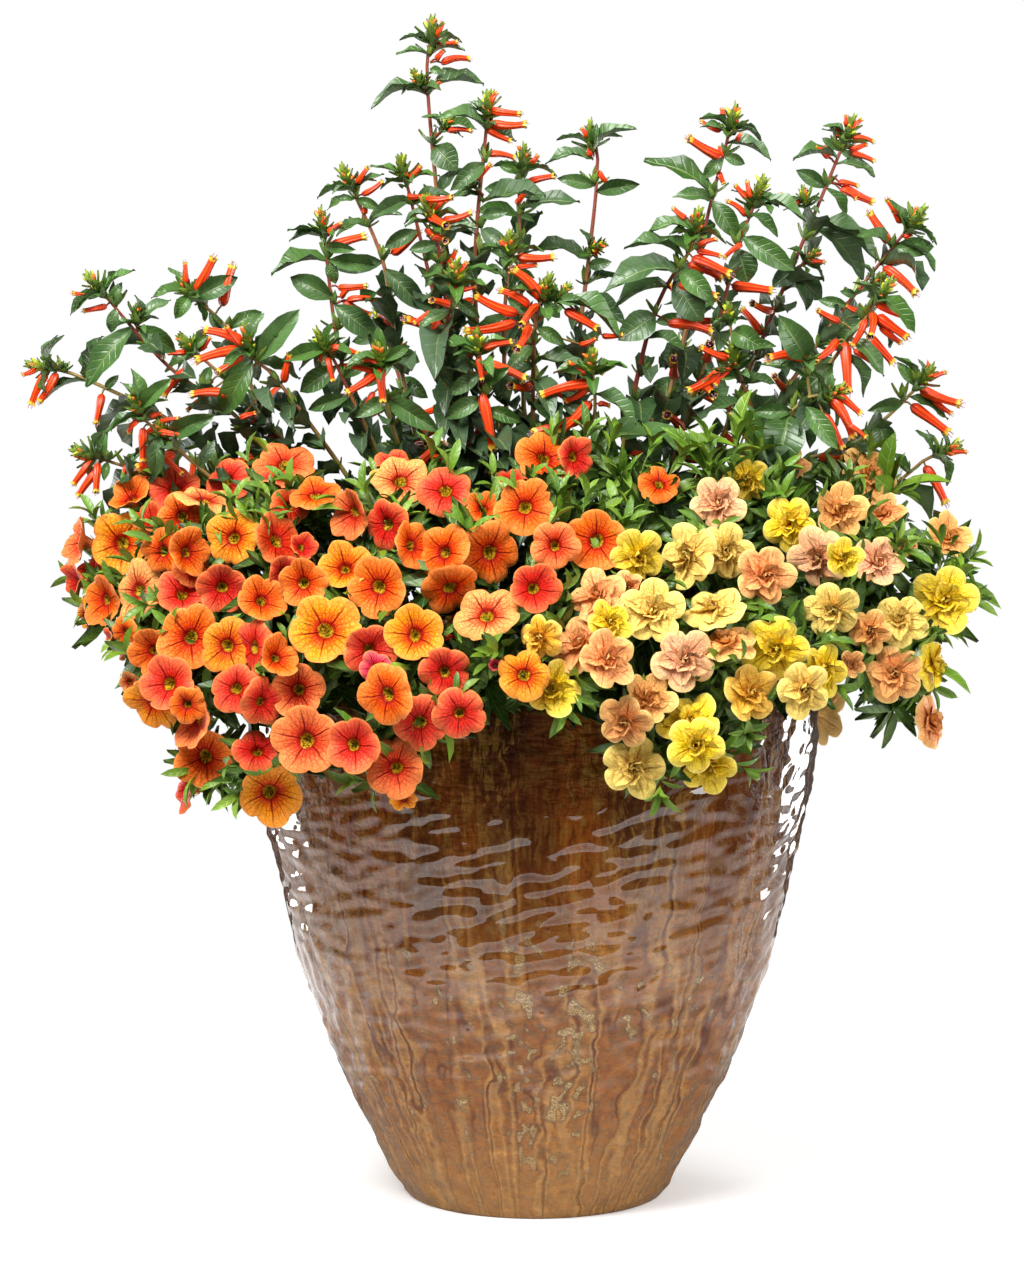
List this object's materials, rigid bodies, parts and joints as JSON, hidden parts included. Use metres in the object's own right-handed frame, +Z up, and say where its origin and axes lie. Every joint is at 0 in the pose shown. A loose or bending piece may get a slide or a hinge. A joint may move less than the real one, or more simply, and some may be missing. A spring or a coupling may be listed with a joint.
{
  "type": "potted firecracker plant",
  "caption": "Glazed tapering plant pot filled with upright red-tubed firecracker plant and trailing calibrachoas in orange, peach and yellow; it stands on its foot.",
  "frame": {"origin": "middle of the pot's foot, on the surface it stands on", "axes": "+Z up, -Y towards the front of the planting, +X to the right seen from the front"},
  "size_m": [0.6152, 0.4941, 0.7492],
  "materials": {
    "glaze": "gloss hammered glaze, amber brown above and streaked tan below",
    "soil": "matt crumbly potting soil with bark",
    "foliage": "satin dark green leaves with pale midribs, reddish stems and orange-red tubes",
    "single_bloom": "soft matt petals, orange to coral with dark veins and a yellow throat",
    "double_bloom": "soft matt ruffled petals, yellow to peach with fine brown veins"
  },
  "bodies": {
    "root": {"pot": "glaze", "soil": "soil", "firecracker_stem_1": "foliage", "firecracker_stem_2": "foliage", "firecracker_stem_3": "foliage", "firecracker_stem_4": "foliage", "firecracker_stem_5": "foliage", "firecracker_stem_6": "foliage", "firecracker_stem_7": "foliage", "firecracker_stem_8": "foliage", "firecracker_stem_9": "foliage", "firecracker_stem_10": "foliage", "firecracker_stem_11": "foliage", "firecracker_stem_12": "foliage", "firecracker_stem_13": "foliage", "firecracker_stem_14": "foliage", "firecracker_stem_15": "foliage", "firecracker_stem_16": "foliage", "firecracker_stem_17": "foliage", "firecracker_stem_18": "foliage", "firecracker_stem_19": "foliage", "firecracker_stem_20": "foliage", "firecracker_stem_21": "foliage", "firecracker_stem_22": "foliage", "firecracker_stem_23": "foliage", "firecracker_stem_24": "foliage", "firecracker_stem_25": "foliage", "firecracker_stem_26": "foliage", "firecracker_stem_27": "foliage", "firecracker_stem_28": "foliage", "firecracker_stem_29": "foliage", "firecracker_stem_30": "foliage", "firecracker_stem_31": "foliage", "firecracker_stem_32": "foliage", "firecracker_stem_33": "foliage", "firecracker_stem_34": "foliage", "single_calibrachoa_1": "single_bloom", "single_calibrachoa_2": "single_bloom", "single_calibrachoa_3": "single_bloom", "single_calibrachoa_4": "single_bloom", "single_calibrachoa_5": "single_bloom", "single_calibrachoa_6": "single_bloom", "single_calibrachoa_7": "single_bloom", "single_calibrachoa_8": "single_bloom", "single_calibrachoa_9": "single_bloom", "single_calibrachoa_10": "single_bloom", "single_calibrachoa_11": "single_bloom", "single_calibrachoa_12": "single_bloom", "single_calibrachoa_13": "single_bloom", "single_calibrachoa_14": "single_bloom", "double_calibrachoa_1": "double_bloom", "double_calibrachoa_2": "double_bloom", "double_calibrachoa_3": "double_bloom", "double_calibrachoa_4": "double_bloom", "double_calibrachoa_5": "double_bloom", "double_calibrachoa_6": "double_bloom", "double_calibrachoa_7": "double_bloom", "double_calibrachoa_8": "double_bloom", "double_calibrachoa_9": "double_bloom", "double_calibrachoa_10": "double_bloom"}
  },
  "joints": []
}
